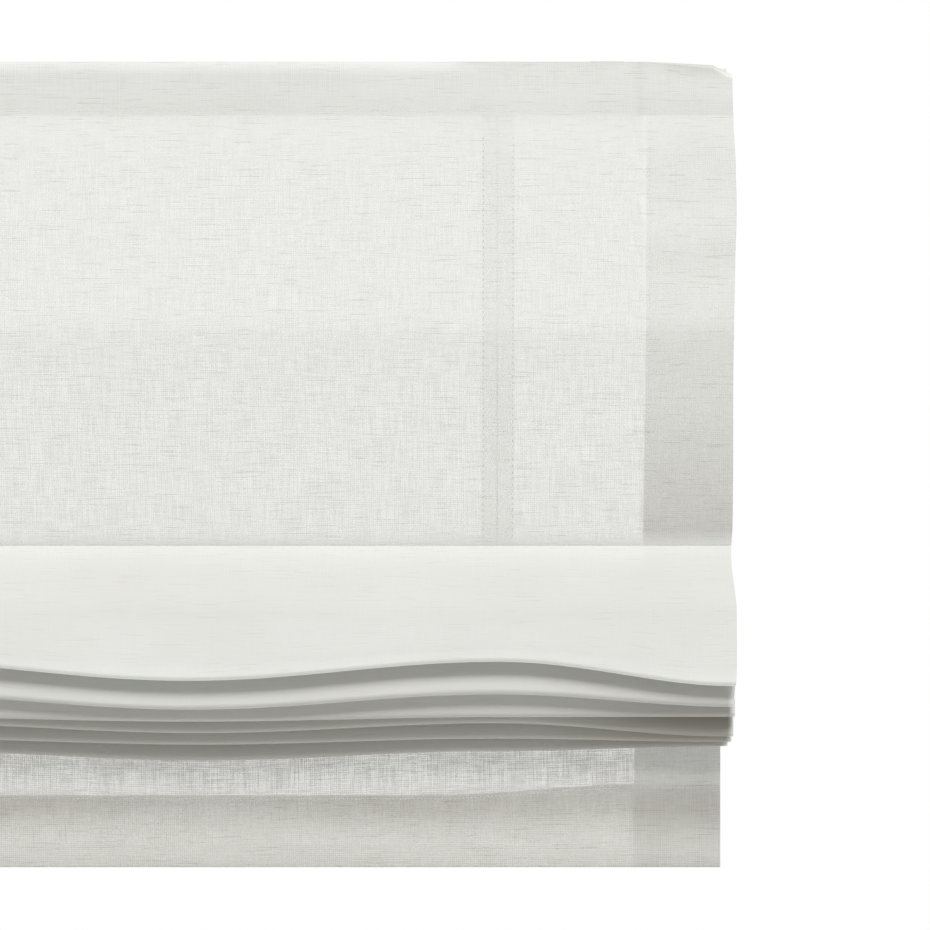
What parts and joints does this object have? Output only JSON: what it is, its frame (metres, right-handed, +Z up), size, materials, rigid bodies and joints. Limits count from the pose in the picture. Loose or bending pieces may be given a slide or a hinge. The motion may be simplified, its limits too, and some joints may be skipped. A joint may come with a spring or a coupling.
{
  "type": "roman blind",
  "caption": "Cordless Roman blind in sheer off-white linen, raised, with its lower folds gathered under a ceiling-fixed headrail.",
  "frame": {"origin": "middle of the bracket screw pattern, on the ceiling that the brackets are screwed to", "axes": "+X along the headrail, towards the right-hand end seen from the room; -Y towards the room; +Z up"},
  "size_m": [1, 0.0838, 0.7556],
  "materials": {
    "linen": "matte",
    "woven_tape": "matte",
    "cord": "matte",
    "tape": "matte",
    "white_aluminium": "satin",
    "zinc_steel": "satin",
    "white_plastic": "satin",
    "grey_plastic": "satin",
    "clear_plastic": "gloss",
    "fibreglass_rod": "satin"
  },
  "bodies": {
    "blind": {"linen_cloth": "linen", "headrail": "white_aluminium", "hook_tape": "tape", "loop_tape": "tape", "end_cap_left": "white_plastic", "bracket_left": "zinc_steel", "drum_cradle_left": "white_plastic", "lift_tape_left": "woven_tape", "lift_cord_left": "cord", "cord_stop_left": "clear_plastic", "bar_tip_left": "white_plastic", "ring_left_1": "clear_plastic", "ring_left_2": "clear_plastic", "ring_left_3": "clear_plastic", "ring_left_4": "clear_plastic", "ring_left_5": "clear_plastic", "ring_left_6": "clear_plastic", "ring_left_7": "clear_plastic", "end_cap_right": "white_plastic", "bracket_right": "zinc_steel", "drum_cradle_right": "white_plastic", "lift_tape_right": "woven_tape", "lift_cord_right": "cord", "cord_stop_right": "clear_plastic", "bar_tip_right": "white_plastic", "ring_right_1": "clear_plastic", "ring_right_2": "clear_plastic", "ring_right_3": "clear_plastic", "ring_right_4": "clear_plastic", "ring_right_5": "clear_plastic", "ring_right_6": "clear_plastic", "ring_right_7": "clear_plastic", "spring_motor": "grey_plastic", "spring_motor_cover": "grey_plastic", "rib_1": "fibreglass_rod", "rib_2": "fibreglass_rod", "rib_3": "fibreglass_rod", "rib_4": "fibreglass_rod", "rib_5": "fibreglass_rod", "rib_6": "fibreglass_rod", "rib_7": "fibreglass_rod", "bottom_bar": "white_aluminium"},
    "lift_roller": {"lift_shaft": "zinc_steel", "cord_drum_left": "white_plastic", "cord_drum_right": "white_plastic"},
    "cam_left_body": {"cam_left": "zinc_steel"},
    "cam_right_body": {"cam_right": "zinc_steel"}
  },
  "joints": [
    {"name": "lift_shaft_turn", "type": "hinge", "parent": "blind", "child": "lift_roller", "pos_m": [0, -0.00725, -0.0185], "axis": [-1, 0, 0], "range_deg": [0, 10080]},
    {"name": "cam_left_turn", "type": "hinge", "parent": "blind", "child": "cam_left_body", "pos_m": [-0.38, 0.004, -0.003], "axis": [0, 0, 1], "range_deg": [0, 90]},
    {"name": "cam_right_turn", "type": "hinge", "parent": "blind", "child": "cam_right_body", "pos_m": [0.38, 0.004, -0.003], "axis": [0, 0, -1], "range_deg": [0, 90]}
  ]
}
